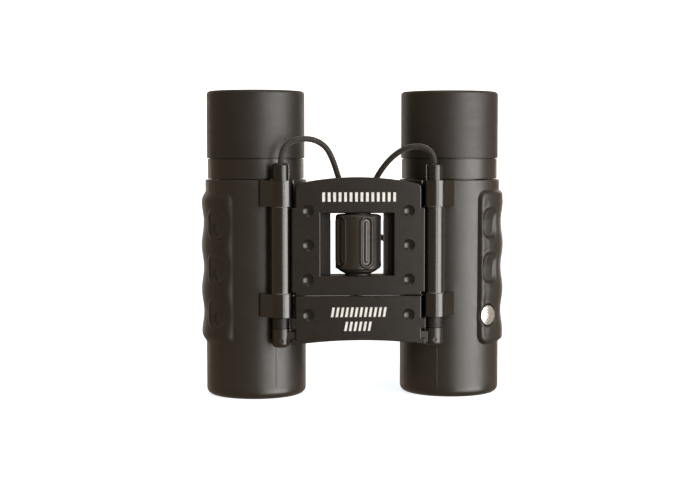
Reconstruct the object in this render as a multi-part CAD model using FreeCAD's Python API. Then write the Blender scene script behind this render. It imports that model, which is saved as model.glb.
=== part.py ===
import FreeCAD, Part
import math
import os

# Compact folding roof-prism binoculars, standing on their objective ends.
# Millimetres, +Z up towards the eyepieces, bridge towards -Y, barrels behind it.
# Everything is drawn about the plane of the two hinge axes (y = 0) and moved by HINGE_Y on saving,
# so that the saved model's origin is the middle of its footprint on the ground.

# Barrels
BARREL_R = 15.0            # armour radius at the objective end
BARREL_TOP_R = 15.25       # armour radius at the eyepiece end
BODY_R = 13.9              # hard body tube under the armour
BODY_BORE_R = 12.6
RIM_TOP = 3.0              # objective rim ring, which the barrel stands on
RIM_LIP = 1.2              # thickness of the rim's inward lip
RIM_OPENING_R = 11.4
RIM_FILLET = 2.0
BODY_TOP = 64.9
NECK_R = 12.0              # eyepiece neck above the body
NECK_BORE_R = 10.6
NECK_TOP = 83.4
NECK_FLANGE = 2.0          # thickness of the step from the body tube to the neck

# Eyepiece end
RING_R = 14.5
RING_BOTTOM = 65.1
RING_TOP = 71.1
RING_LIP_R = 14.1
RING_EDGE = 0.15
EYECUP_R = 14.75
EYECUP_BOTTOM = 71.3
EYECUP_TOP = 91.4
EYECUP_OPENING_R = 11.2
EYECUP_STEP = 83.7         # where the eyecup's bore steps in above the neck
EYECUP_EDGE = 1.0
CELL_BOTTOM = 65.6
CELL_TOP = 84.4
CELL_BORE_R = 9.2
RUNNING = 0.08             # radial clearance of everything that turns or slides in a bore

# Prisms
PRISM_BOTTOM = 31.2
PRISM_TOP = 57.2
PRISM_HALF = 8.4
PRISM_GAP = 0.3
PRISM_SLANT = 3.5          # rise of the gap between the prisms, from the middle to the side
ROOF_H = 4.0

# Objective end
OBJECTIVE_BOTTOM = 6.0
OBJECTIVE_TOP = 25.2
OBJECTIVE_R = BODY_BORE_R - RUNNING
OBJECTIVE_BORE_R = 11.2
FOCUS_TRAVEL = 3.0         # how far the objectives and the lower plate move down
ARM_BOTTOM = 21.6
ARM_TOP = 24.65
ARM_WIDTH = 3.0

# Hinges
HINGE_X = 22.55            # each hinge axis from the middle plane
HINGE_TO_BARREL = 18.75    # hinge axis to barrel axis
FOLD_DEG = 21.8            # each barrel stands this far outward of straight back
LUG_R = 3.75
LUG_BORE_R = 2.28
UPPER_LUG = (57.3, 64.8)
LOWER_LUG = (24.9, 31.7)
LUG_WEB_ANGLE = 19.5       # how far round the barrel a lug's web reaches
LUG_WEB_PROUD = 0.7        # how far that web stands out of the armour
LUG_WEB_ROUNDING = 1.6     # of that web's outer corner
HINGE_TUBE_R = 2.2
SLEEVE_R = 3.15
WASHER_T = 0.25
WASHER_R = 2.8
PUSH_ROD_R = 1.2
HINGE_TUBE_BORE_R = 1.26
CAP_R = 2.45
CAP_BOTTOM = 64.9
CAP_TOP = 69.9
CAP_DOME = 0.9
STRAP_HOLE_R = 0.95
STRAP_HOLE_FLOOR = 69.0    # each strand's end rests on it

# Bridge
COVER_FRONT = -3.0
COVER_BACK = -1.8
FRAME_BACK = 2.0
BACK_COVER_BACK = 4.6
BRIDGE_HALF = 18.4         # beside the lugs
BRIDGE_WAIST = 19.5       # between the lugs
BRIDGE_TOP = 65.8          # crown of the arched top edge
BRIDGE_SHOULDER = 63.75    # height of the arch's ends, before the corners are rounded
PARTING = 31.2             # joint line between the upper and the lower plate
PARTING_GAP = 0.15
LOWER_EDGE = 16.8          # lower edge of the lower plate at its ends
LOWER_ARCH = 18.1          # crown of that edge
WINDOW_HALF = 7.95
POCKET_LEFT = -11.1        # finger pockets in front, a little wider on the left
POCKET_RIGHT = 10.3
WINDOW_FLOOR_Y = 1.0       # how deep the finger pockets beside the wheel go
WINDOW_BOTTOM = 37.1
WINDOW_TOP = 55.3
CORNER_R = 1.6
DIMPLE_X = 14.75
DIMPLE_Z = (56.0, 46.0, 35.9, 25.6)
DIMPLE_R = 1.75
DIMPLE_DEPTH = 0.8
FOLDED_DEG = 17.2          # each barrel's furthest swing inward of straight back
FOLDED_GAP = 0.5           # air between a folded barrel and the back cover

SCREW_PLACES = ((-9.6, 34.2), (9.6, 34.2), (-9.6, 60.2), (9.6, 60.2))
SCREW_HEAD_R = 1.3
SCREW_HEAD = (2.2, 2.9)    # underside and top of the head, along Y
SCREW_SHANK_R = 0.7
CROSS_HALF = 0.8
CROSS_HALF_T = 0.15
CROSS_DEPTH = 0.4

# Focusing wheel
WHEEL_R = 6.9
WHEEL_CORE_R = 5.6
WHEEL_BOTTOM = 37.55
WHEEL_TOP = 54.95
WHEEL_BEVEL_TOP = 39.2      # the wheel tapers in below this height
WHEEL_EDGE = 0.8
WHEEL_COLLAR_R = 3.8
JOURNAL_R = 1.2
FOCUS_SCREW_R = 1.3
SCREW_BORE_R = 1.38

# Focusing carriage
RING_CLAMP_R = 2.65
CLAMP_BOTTOM = 16.0
CLAMP_TOP = 21.45
CLAMP_ROUNDING = 1.3
YOKE_BACK = 1.8
YOKE_ARM_BACK = 1.2
FOCUS_SCREW_BOTTOM = 22.2
PUSH_ROD_TOP = 57.2
GRUB_R = 0.7
GRUB_L = 1.25
GRUB_SOCKET_R = 0.35
GRUB_Z = 18.0

# Grip pads, measured round the barrel from the hinge
PAD_START_DEG = 46.5
PAD_END_DEG = 140.0
PAD_BOTTOM = 15.3
PAD_TOP = 62.1
PAD_R = 16.1
PAD_WAVE = 0.32
PAD_PITCH = 13.35
PAD_MIDDLE = 38.5
PAD_CORNER = 3.2
LEFT_RECESS_DEG = 71.0
RIGHT_RECESS_DEG = 64.0
RECESS_W = 6.9
RECESS_H = 8.6
RECESS_FLOOR_R = 15.5
BADGE_R = 3.0
BADGE_T = 0.8
BADGE_DEG = 61.5
BADGE_Z = 24.3

# Neck strap
STRAP_R = 0.9
COIL_MID_R = 10.0
COIL_HALF_W = 2.75
COIL_BOTTOM = 0.4
COIL_TOP = 7.6
COIL_X = 34.0
COIL_Y = 48.6
TIE_T = 0.4
TIE_W = 3.5

FOLD = math.radians(FOLD_DEG)
BARREL_X = HINGE_X + HINGE_TO_BARREL * math.sin(FOLD)
BARREL_Y = HINGE_TO_BARREL * math.cos(FOLD)
HINGE_Y = -(BARREL_Y + BARREL_TOP_R - WHEEL_R) / 2
SIDES = (("left", -1), ("right", 1))


# ---------------------------------------------------------------- helpers

def vec(x, y, z):
    return FreeCAD.Vector(x, y, z)


def rod(radius, z0, z1, x=0.0, y=0.0):
    return Part.makeCylinder(radius, z1 - z0, vec(x, y, z0))


def rod_y(radius, y0, y1, x, z):
    return Part.makeCylinder(radius, y1 - y0, vec(x, y0, z), vec(0, 1, 0))


def tube(outer, inner, z0, z1, x=0.0, y=0.0):
    return rod(outer, z0, z1, x, y).cut(rod(inner, z0 - 1, z1 + 1, x, y))


def block(x0, x1, y0, y1, z0, z1):
    return Part.makeBox(x1 - x0, y1 - y0, z1 - z0, vec(x0, y0, z0))


def turned(profile):
    """Solid of revolution about Z from a closed outline of (radius, z) points."""
    points = [vec(r, 0, z) for r, z in profile]
    face = Part.Face(Part.makePolygon(points + points[:1]))
    return face.revolve(vec(0, 0, 0), vec(0, 0, 1), 360)


def plate_xz(edges, y0, y1):
    """Plate between y0 and y1 from the closed edges of its outline, drawn at y = 0."""
    plate = Part.Face(Part.Wire(edges)).extrude(vec(0, y1 - y0, 0))
    plate.translate(vec(0, y0, 0))
    return plate


def line(a, b):
    return Part.LineSegment(a, b).toShape()


def arc(a, b, c):
    return Part.Arc(a, b, c).toShape()


def rounded(shape, radius, wanted):
    """The shape with every edge that wanted(edge) picks filleted."""
    return shape.makeFillet(radius, [edge for edge in shape.Edges if wanted(edge)])


def at_height(z, radius=None):
    """Picks the circular edges at one height, and of one radius if it is given."""
    def wanted(edge):
        box = edge.BoundBox
        level = abs(box.ZMin - z) < 1e-3 and abs(box.ZMax - z) < 1e-3
        round_edge = isinstance(edge.Curve, Part.Circle)
        return level and round_edge and (radius is None or abs(edge.Curve.Radius - radius) < 1e-3)
    return wanted


def around(degrees, radius):
    """Point on a barrel, at an angle from its hinge towards its outer side."""
    angle = math.radians(degrees)
    return radius * math.sin(angle), -radius * math.cos(angle)


def armour_radius(z):
    return BARREL_R + (BARREL_TOP_R - BARREL_R) * (z - RIM_TOP) / (BODY_TOP - RIM_TOP)


def on_barrel(shape, side):
    """Moves a shape from the right barrel's own frame, hinge towards -Y, to its place on one side."""
    placed = shape.copy()
    placed.rotate(vec(0, 0, 0), vec(0, 0, 1), -FOLD_DEG)
    placed.translate(vec(BARREL_X, BARREL_Y, 0))
    if side < 0:
        placed = placed.mirror(vec(0, 0, 0), vec(1, 0, 0))
    return placed


def save(name, shape):
    shape.translated(vec(0, HINGE_Y, 0)).exportStep("parts/" + name + ".step")


# ---------------------------------------------------------------- barrels

def lug(z0, z1):
    """Hinge eye with the web that carries it, solid across the barrel's wall."""
    eye_y = -HINGE_TO_BARREL
    corner = around(LUG_WEB_ANGLE, BARREL_TOP_R + LUG_WEB_PROUD)
    reach = math.hypot(corner[0], corner[1] - eye_y)
    bearing = math.atan2(corner[1] - eye_y, corner[0])
    touch = bearing - math.acos(LUG_R / reach)
    tangent = (LUG_R * math.cos(touch), eye_y + LUG_R * math.sin(touch))
    foot = around(LUG_WEB_ANGLE, BODY_R - 0.6)
    inner_x = -0.7 * LUG_R
    outline = [(0, eye_y), tangent, corner, foot, (inner_x, -BODY_R + 0.6), (inner_x, eye_y)]
    points = [vec(x, y, z0) for x, y in outline]
    web = Part.Face(Part.makePolygon(points + points[:1])).extrude(vec(0, 0, z1 - z0))
    web = rounded(web, LUG_WEB_ROUNDING, lambda edge: edge.BoundBox.XMin > corner[0] - 1e-3)
    return rod(LUG_R, z0, z1, 0, eye_y).fuse(web).removeSplitter()


def arm_slot():
    half = ARM_WIDTH / 2 + 0.3
    return block(-half, half, -BARREL_R - 1, -BODY_BORE_R + 1,
                 ARM_BOTTOM - FOCUS_TRAVEL - 0.3, ARM_TOP + 0.2)


def barrel_body():
    """Body tube with the eyepiece neck, both hinge lugs and the slot for the focusing arm."""
    body = turned([
        (BODY_BORE_R, RIM_LIP), (BODY_R, RIM_LIP), (BODY_R, BODY_TOP), (NECK_R, BODY_TOP),
        (NECK_R, NECK_TOP), (NECK_BORE_R, NECK_TOP), (NECK_BORE_R, BODY_TOP - NECK_FLANGE),
        (BODY_BORE_R, BODY_TOP - NECK_FLANGE)])
    for z0, z1 in (UPPER_LUG, LOWER_LUG):
        body = body.fuse(lug(z0, z1))
    body = body.removeSplitter()
    for z0, z1 in (UPPER_LUG, LOWER_LUG):
        body = body.cut(rod(LUG_BORE_R, z0 - 1, z1 + 1, 0, -HINGE_TO_BARREL))
    return body.cut(arm_slot())


def armour():
    """Rubber skin, slightly wider at the top, with pockets where the lugs come through."""
    skin = turned([
        (BODY_R, RIM_TOP), (armour_radius(RIM_TOP), RIM_TOP),
        (armour_radius(BODY_TOP), BODY_TOP), (BODY_R, BODY_TOP)])
    skin = rounded(skin, 0.4, at_height(BODY_TOP, armour_radius(BODY_TOP)))
    for z0, z1 in (UPPER_LUG, LOWER_LUG):
        skin = skin.cut(lug(z0, z1))
    return skin.cut(arm_slot())


def objective_rim():
    ring = turned([
        (RIM_OPENING_R, 0), (BARREL_R, 0), (BARREL_R, RIM_TOP), (BODY_R, RIM_TOP),
        (BODY_R, RIM_LIP), (RIM_OPENING_R, RIM_LIP)])
    ring = rounded(ring, RIM_FILLET, at_height(0, BARREL_R))
    return rounded(ring, 0.3, at_height(0, RIM_OPENING_R))


def pad_outline():
    """Rounded rectangle that trims the grip pad, seen square on to its middle."""
    half = PAD_R * math.sin(math.radians((PAD_END_DEG - PAD_START_DEG) / 2))
    box = block(-half, half, 0, 2 * PAD_R, PAD_BOTTOM, PAD_TOP)
    box = rounded(box, PAD_CORNER, lambda edge: edge.BoundBox.YLength > PAD_R)
    box.rotate(vec(0, 0, 0), vec(0, 0, 1), (PAD_START_DEG + PAD_END_DEG) / 2 - 180)
    return box


def recess(z, turn):
    """Oval finger recess, cut radially into the pad down to RECESS_FLOOR_R."""
    half_h = RECESS_H / 2
    half_w = RECESS_W / 2
    oval = block(-half_w, half_w, RECESS_FLOOR_R, 2 * PAD_R, z - half_h, z + half_h)
    oval = rounded(oval, half_w - 0.05, lambda edge: edge.BoundBox.YLength > 1)
    oval.rotate(vec(0, 0, 0), vec(0, 0, 1), turn - 180)
    return oval


def grip_pad(recess_heights, recess_turn):
    """Wavy rubber pad on the outer side of a barrel."""
    steps = 26
    crest = []
    for step in range(steps + 1):
        z = PAD_BOTTOM - 1 + (PAD_TOP - PAD_BOTTOM + 2) * step / steps
        wave = math.cos(2 * math.pi * (z - PAD_MIDDLE) / PAD_PITCH)
        crest.append(vec(PAD_R - PAD_WAVE * wave, 0, z))
    outer = Part.BSplineCurve()
    outer.interpolate(crest)
    bottom = vec(armour_radius(crest[0].z), 0, crest[0].z)
    top = vec(armour_radius(crest[-1].z), 0, crest[-1].z)
    edges = [outer.toShape(), line(crest[-1], top), line(top, bottom), line(bottom, crest[0])]
    ring = Part.Face(Part.Wire(edges)).revolve(vec(0, 0, 0), vec(0, 0, 1), 360)
    pad = ring.common(pad_outline())
    for z in recess_heights:
        pad = pad.cut(recess(z, recess_turn))
    return pad


def badge_disc(grow=0.0):
    """Plain round badge let into the right-hand pad."""
    disc = Part.makeCylinder(BADGE_R + grow, BADGE_T + 5 * grow, vec(0, PAD_R - 0.55, 0), vec(0, 1, 0))
    disc.rotate(vec(0, 0, 0), vec(0, 0, 1), BADGE_DEG - 180)
    disc.translate(vec(0, 0, BADGE_Z))
    return disc


def eyepiece_ring(clearance):
    """Ring below the eyecup, with a narrower lip that reaches up to the cup."""
    bore = NECK_R + clearance
    ring = tube(RING_R, bore, RING_BOTTOM, RING_TOP)
    ring = rounded(ring, RING_EDGE, at_height(RING_TOP, RING_R))
    ring = rounded(ring, RING_EDGE, at_height(RING_BOTTOM, RING_R))
    return ring.fuse(tube(RING_LIP_R, bore, RING_TOP - 1, EYECUP_BOTTOM)).removeSplitter()


def eyecup(clearance):
    """Soft cup: sits on the neck, then opens above the eye lens."""
    bore = NECK_R + clearance
    cup = turned([
        (bore, EYECUP_BOTTOM), (EYECUP_R, EYECUP_BOTTOM), (EYECUP_R, EYECUP_TOP),
        (EYECUP_OPENING_R, EYECUP_TOP), (EYECUP_OPENING_R, EYECUP_STEP), (bore, EYECUP_STEP)])
    cup = rounded(cup, EYECUP_EDGE, at_height(EYECUP_TOP))
    return rounded(cup, RING_EDGE, at_height(EYECUP_BOTTOM, EYECUP_R))


def eyepiece_cell(clearance):
    """Lens tube of the eyepiece, with a lip over the eye lens."""
    outer = NECK_BORE_R - clearance
    return turned([
        (CELL_BORE_R, CELL_BOTTOM), (outer, CELL_BOTTOM), (outer, CELL_TOP),
        (CELL_BORE_R - 0.8, CELL_TOP), (CELL_BORE_R - 0.8, CELL_TOP - 0.8), (CELL_BORE_R, CELL_TOP - 0.8)])


def lens(radius, z0, z1, sag_low, sag_high):
    """Round lens with poles at z0 and z1. A face's sag is how far its rim lies inside its pole."""
    blank = rod(radius, min(z0, z0 + sag_low), max(z1, z1 - sag_high))
    for pole, sag, inward in ((z0, sag_low, 1), (z1, sag_high, -1)):
        if sag == 0:
            continue
        face_r = (radius ** 2 + sag ** 2) / (2 * sag)
        ball = Part.makeSphere(abs(face_r), vec(0, 0, pole + inward * face_r))
        blank = blank.common(ball) if sag > 0 else blank.cut(ball)
    return blank


def objective_doublet():
    """Crown lens with the flint lens cemented to its upper face."""
    crown = lens(OBJECTIVE_BORE_R, 8.8, 13.0, 1.4, 1.0)
    flint = lens(OBJECTIVE_BORE_R, 13.0, 14.2, -1.0, 0.0)
    return Part.makeCompound([crown, flint])


def objective_cell():
    return tube(OBJECTIVE_R, OBJECTIVE_BORE_R, OBJECTIVE_BOTTOM, OBJECTIVE_TOP)


def objective_retainer():
    return tube(OBJECTIVE_BORE_R, OBJECTIVE_BORE_R - 0.8, OBJECTIVE_BOTTOM + 0.8, 9.9)


def focus_arm():
    """Arm from the ring that turns on the push rod, through the slot, to the objective's cell."""
    half = ARM_WIDTH / 2
    bar = block(-half, half, -HINGE_TO_BARREL, -OBJECTIVE_R + 0.5, ARM_BOTTOM, ARM_TOP)
    eye = rod(RING_CLAMP_R - 0.05, ARM_BOTTOM, ARM_TOP, 0, -HINGE_TO_BARREL)
    arm = eye.fuse(bar).removeSplitter()
    arm = arm.cut(rod(OBJECTIVE_R, ARM_BOTTOM - 1, ARM_TOP + 1))
    return arm.cut(rod(PUSH_ROD_R + RUNNING, ARM_BOTTOM - 1, ARM_TOP + 1, 0, -HINGE_TO_BARREL))


def prism_holder():
    holder = rod(BODY_BORE_R, PRISM_BOTTOM, PRISM_TOP)
    return holder.cut(block(-PRISM_HALF, PRISM_HALF, -PRISM_HALF, PRISM_HALF,
                            PRISM_BOTTOM - 1, PRISM_TOP + 1))


def prism_pair():
    """Roof prism above and half-penta prism below, with a thin slanted air gap between them."""
    half = PRISM_HALF
    low, high = PRISM_BOTTOM + 1, PRISM_TOP - 1
    middle = (low + high) / 2
    falling, rising = middle - PRISM_SLANT, middle + PRISM_SLANT
    eaves = high - ROOF_H
    lower = [(-half, low), (half, low), (half, falling - PRISM_GAP), (-half, rising - PRISM_GAP)]
    upper = [(-half, rising), (half, falling), (half, eaves), (0, high), (-half, eaves)]
    prisms = []
    for outline in (lower, upper):
        corners = [vec(x, 0, z) for x, z in outline]
        edges = [line(a, b) for a, b in zip(corners, corners[1:] + corners[:1])]
        prisms.append(plate_xz(edges, -half, half))
    return prisms


def build_barrel(name, side):
    clearance = RUNNING if side > 0 else 0.0
    heights = [PAD_MIDDLE + PAD_PITCH, PAD_MIDDLE]
    if side < 0:
        heights.append(PAD_MIDDLE - PAD_PITCH)
    pad = grip_pad(heights, RIGHT_RECESS_DEG if side > 0 else LEFT_RECESS_DEG)
    if side > 0:
        pad = pad.cut(badge_disc(0.15))
        save("badge_disc", on_barrel(badge_disc(), side))
    half_penta, roof = prism_pair()
    ring_name = "diopter_ring" if side > 0 else "eyepiece_ring_left"
    pieces = {
        "barrel_body_" + name: barrel_body(),
        "armour_" + name: armour(),
        "objective_rim_" + name: objective_rim(),
        "grip_pad_" + name: pad,
        ring_name: eyepiece_ring(clearance),
        "eyecup_" + name: eyecup(clearance),
        "eyepiece_cell_" + name: eyepiece_cell(clearance),
        "field_lens_" + name: lens(CELL_BORE_R, 67.4, 70.4, 0.0, 1.2),
        "eye_lens_" + name: lens(CELL_BORE_R, 79.4, CELL_TOP - 0.8, 1.3, 1.6),
        "objective_cell_" + name: objective_cell(),
        "objective_lens_" + name: objective_doublet(),
        "objective_retainer_" + name: objective_retainer(),
        "focus_arm_" + name: focus_arm(),
        "prism_holder_" + name: prism_holder(),
        "roof_prism_" + name: roof,
        "half_penta_prism_" + name: half_penta,
    }
    for node, shape in pieces.items():
        save(node, on_barrel(shape, side))


# ---------------------------------------------------------------- hinges

def hinge_tube(side):
    """Hollow hinge axle, thicker between the lugs, with the push rod's bore up its middle."""
    x = side * HINGE_X
    axle = rod(HINGE_TUBE_R, LOWER_LUG[0] + 0.1, CAP_BOTTOM, x)
    sleeve = rod(SLEEVE_R, LOWER_LUG[1] + WASHER_T, UPPER_LUG[0] - WASHER_T, x)
    return axle.fuse(sleeve).removeSplitter().cut(rod(HINGE_TUBE_BORE_R, 0, CAP_TOP, x))


def hinge_cap(side):
    """Domed cap on the axle, with the strap's hole down its top."""
    x = side * HINGE_X
    head = rod(CAP_R, CAP_BOTTOM, CAP_TOP, x)
    head = rounded(head, CAP_DOME, at_height(CAP_TOP, CAP_R))
    stem = rod(HINGE_TUBE_BORE_R, CAP_BOTTOM - 5, CAP_BOTTOM, x)
    return head.fuse(stem).cut(rod(STRAP_HOLE_R, STRAP_HOLE_FLOOR, CAP_TOP + 1, x))


def hinge_washers():
    """Friction washers between the sleeves' shoulders and the lugs."""
    rings = []
    for side in (-1, 1):
        for z in (LOWER_LUG[1] + 0.02, UPPER_LUG[0] - WASHER_T):
            rings.append(tube(WASHER_R, HINGE_TUBE_R, z, z + WASHER_T - 0.02, side * HINGE_X))
    return Part.makeCompound(rings)


# ---------------------------------------------------------------- bridge

def upper_outline():
    """Front outline of the upper plate: arched top, wider between the lugs than beside them."""
    half, waist = BRIDGE_HALF, BRIDGE_WAIST
    low = PARTING + PARTING_GAP / 2
    waist_low, waist_high = LOWER_LUG[1] + 0.4, UPPER_LUG[0] - 0.4
    right = [
        vec(half, 0, BRIDGE_SHOULDER), vec(half, 0, waist_high), vec(waist, 0, waist_high),
        vec(waist, 0, waist_low), vec(half, 0, waist_low), vec(half, 0, low)]
    left = [vec(-point.x, 0, point.z) for point in reversed(right)]
    corners = right + left
    edges = [line(a, b) for a, b in zip(corners, corners[1:])]
    return edges + [arc(left[-1], vec(0, 0, BRIDGE_TOP), right[0])]


def upper_plate(y0, y1):
    plate = plate_xz(upper_outline(), y0, y1)
    return rounded(plate, CORNER_R, lambda edge: edge.BoundBox.ZMin > BRIDGE_SHOULDER - 1e-3
                   and edge.BoundBox.XLength < 1e-3)


def lower_outline():
    """Front outline of the lower plate: arched lower edge, ears under the rod ends."""
    half = BRIDGE_HALF
    ear = HINGE_X - RING_CLAMP_R - 0.15
    top = PARTING - PARTING_GAP / 2
    lug_clear = LOWER_LUG[0] - 0.3
    notch_top, notch_bottom = CLAMP_TOP, CLAMP_TOP - 2.9
    right = [
        vec(half, 0, top), vec(half, 0, lug_clear), vec(ear, 0, lug_clear), vec(ear, 0, notch_top),
        vec(half, 0, notch_top), vec(half, 0, notch_bottom), vec(ear, 0, notch_bottom),
        vec(ear, 0, LOWER_EDGE)]
    left = [vec(-point.x, 0, point.z) for point in reversed(right)]
    edges = [line(a, b) for a, b in zip(right, right[1:])]
    edges.append(arc(right[-1], vec(0, 0, LOWER_ARCH), left[0]))
    edges += [line(a, b) for a, b in zip(left, left[1:])]
    return edges + [line(left[-1], right[0])]


def dimple(x, z):
    """Spherical cutter for a shallow dimple in the front face."""
    ball_r = (DIMPLE_R ** 2 + DIMPLE_DEPTH ** 2) / (2 * DIMPLE_DEPTH)
    return Part.makeSphere(ball_r, vec(x, COVER_FRONT + DIMPLE_DEPTH - ball_r, z))


def with_dimples(plate, heights):
    for z in heights:
        for side in (-1, 1):
            plate = plate.cut(dimple(side * DIMPLE_X, z))
    return plate


def on_front_face(edge):
    box = edge.BoundBox
    return abs(box.YMin - COVER_FRONT) < 1e-3 and abs(box.YMax - COVER_FRONT) < 1e-3


def upper_cover():
    cover = upper_plate(COVER_FRONT, COVER_BACK)
    cover = cover.cut(block(POCKET_LEFT, POCKET_RIGHT, COVER_FRONT - 1, COVER_BACK + 1,
                            WINDOW_BOTTOM, WINDOW_TOP))
    cover = rounded(cover, 0.35, on_front_face)
    return with_dimples(cover, DIMPLE_Z[:3])


def lower_cover():
    cover = plate_xz(lower_outline(), COVER_FRONT, COVER_BACK)
    cover = rounded(cover, 0.3, on_front_face)
    return with_dimples(cover, DIMPLE_Z[3:])


def bridge_frame():
    """Cast frame behind the upper plate: window, finger pockets, saddles for the hinge tubes."""
    frame = upper_plate(COVER_BACK, FRAME_BACK)
    low = PARTING + PARTING_GAP / 2
    for side in (-1, 1):
        x0, x1 = sorted((side * (BRIDGE_WAIST - 0.5), side * HINGE_X))
        web = block(x0, x1, -1.3, 1.3, LOWER_LUG[1] + 0.5, UPPER_LUG[0] - 0.5)
        frame = frame.fuse(web)
    frame = frame.removeSplitter()
    for side in (-1, 1):
        frame = frame.cut(rod(SLEEVE_R, LOWER_LUG[1] + 0.1, UPPER_LUG[0] - 0.1, side * HINGE_X))
    frame = frame.cut(block(-WINDOW_HALF, WINDOW_HALF, COVER_BACK - 1, FRAME_BACK + 1,
                            WINDOW_BOTTOM, WINDOW_TOP))
    frame = frame.cut(block(POCKET_LEFT, POCKET_RIGHT, COVER_BACK - 1, WINDOW_FLOOR_Y,
                            WINDOW_BOTTOM, WINDOW_TOP))
    frame = frame.cut(rod(JOURNAL_R + RUNNING, WINDOW_TOP - 1, WINDOW_TOP + 4.5))
    return frame.cut(rod(FOCUS_SCREW_R + 0.3, low - 1, WINDOW_BOTTOM + 1))


def back_cover():
    """Back of the bridge, scalloped so that the folded barrels lie against it."""
    cover = block(-12.5, 12.5, FRAME_BACK, BACK_COVER_BACK, PARTING + 0.8, BRIDGE_SHOULDER + 0.6)
    swing = math.radians(FOLDED_DEG)
    for side in (-1, 1):
        x = side * (HINGE_X - HINGE_TO_BARREL * math.sin(swing))
        y = HINGE_TO_BARREL * math.cos(swing)
        cover = cover.cut(rod(BARREL_TOP_R + FOLDED_GAP, 0, EYECUP_TOP, x, y))
    cover = cover.cut(block(-WINDOW_HALF, WINDOW_HALF, FRAME_BACK - 1, BACK_COVER_BACK + 1,
                            WINDOW_BOTTOM, WINDOW_TOP))
    for x, z in SCREW_PLACES:
        cover = cover.cut(rod_y(SCREW_HEAD_R + 0.1, SCREW_HEAD[0], BACK_COVER_BACK + 1, x, z))
        cover = cover.cut(rod_y(SCREW_SHANK_R, FRAME_BACK - 1, BACK_COVER_BACK, x, z))
    return cover


def cover_screws():
    """Four small cross-head screws that hold the back cover."""
    screws = []
    for x, z in SCREW_PLACES:
        head = rod_y(SCREW_HEAD_R, SCREW_HEAD[0], SCREW_HEAD[1], x, z)
        shank = rod_y(SCREW_SHANK_R, FRAME_BACK, SCREW_HEAD[0], x, z)
        slot_y = SCREW_HEAD[1] - CROSS_DEPTH
        cross = block(x - CROSS_HALF, x + CROSS_HALF, slot_y, BACK_COVER_BACK,
                      z - CROSS_HALF_T, z + CROSS_HALF_T)
        cross = cross.fuse(block(x - CROSS_HALF_T, x + CROSS_HALF_T, slot_y, BACK_COVER_BACK,
                                 z - CROSS_HALF, z + CROSS_HALF))
        screws.append(head.fuse(shank).cut(cross))
    return Part.makeCompound(screws)


# ---------------------------------------------------------------- focusing

def wheel_envelope():
    """The wheel's outline, rounded above and tapered below."""
    outline = turned([
        (0, WHEEL_BOTTOM), (WHEEL_COLLAR_R, WHEEL_BOTTOM), (WHEEL_R, WHEEL_BEVEL_TOP),
        (WHEEL_R, WHEEL_TOP), (0, WHEEL_TOP)])
    return rounded(outline, WHEEL_EDGE, at_height(WHEEL_TOP, WHEEL_R))


def focus_wheel_core():
    """Hub of the wheel: journal above, collars, and the nut that drives the focusing screw."""
    hub = wheel_envelope().common(rod(WHEEL_CORE_R, WHEEL_BOTTOM, WHEEL_TOP))
    collar = rod(WHEEL_COLLAR_R, WINDOW_BOTTOM + 0.1, WINDOW_TOP - 0.1)
    journal = rod(JOURNAL_R, WHEEL_TOP, WINDOW_TOP + 4.2)
    hub = hub.fuse(collar).fuse(journal).removeSplitter()
    return hub.cut(rod(SCREW_BORE_R, WINDOW_BOTTOM - 1, WHEEL_TOP - 0.6))


def focus_wheel_grip():
    return wheel_envelope().cut(rod(WHEEL_CORE_R, WHEEL_BOTTOM - 1, WHEEL_TOP + 1))


def focus_screw():
    return rod(FOCUS_SCREW_R, FOCUS_SCREW_BOTTOM, WHEEL_TOP - 1.0)


def focus_yoke():
    """Crosspiece behind the lower plate, with a split clamp for each push rod."""
    top = PARTING - PARTING_GAP / 2
    half = BRIDGE_HALF - 0.3
    bar = block(-half, half, COVER_BACK, YOKE_BACK, CLAMP_BOTTOM + 3.0, top - 0.3)
    for side in (-1, 1):
        x0, x1 = sorted((side * (BRIDGE_HALF - 1), side * HINGE_X))
        clamp = rod(RING_CLAMP_R, CLAMP_BOTTOM, CLAMP_TOP, side * HINGE_X)
        clamp = rounded(clamp, CLAMP_ROUNDING, at_height(CLAMP_BOTTOM, RING_CLAMP_R))
        arm = block(x0, x1, COVER_BACK, YOKE_ARM_BACK, CLAMP_BOTTOM + 1.4, CLAMP_TOP - 0.9)
        bar = bar.fuse(arm).fuse(clamp)
    bar = bar.removeSplitter()
    for side in (-1, 1):
        bar = bar.cut(rod(PUSH_ROD_R, CLAMP_BOTTOM + 0.8, CLAMP_TOP + 1, side * HINGE_X))
        bar = bar.cut(rod_y(GRUB_R, -4.0, 0.0, side * HINGE_X, GRUB_Z))
    return bar.cut(rod(FOCUS_SCREW_R, FOCUS_SCREW_BOTTOM, WHEEL_TOP))


def grub_screws():
    screws = []
    for side in (-1, 1):
        x = side * HINGE_X
        screw = rod_y(GRUB_R, -PUSH_ROD_R - GRUB_L, -PUSH_ROD_R, x, GRUB_Z)
        socket = rod_y(GRUB_SOCKET_R, -PUSH_ROD_R - 2.0, -PUSH_ROD_R - 1.0, x, GRUB_Z)
        screws.append(screw.cut(socket))
    return Part.makeCompound(screws)


def push_rod(side):
    shank = rod(PUSH_ROD_R, CLAMP_BOTTOM + 0.8, PUSH_ROD_TOP, side * HINGE_X)
    return rounded(shank, 0.3, at_height(PUSH_ROD_TOP, PUSH_ROD_R))


# ---------------------------------------------------------------- neck strap

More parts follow.
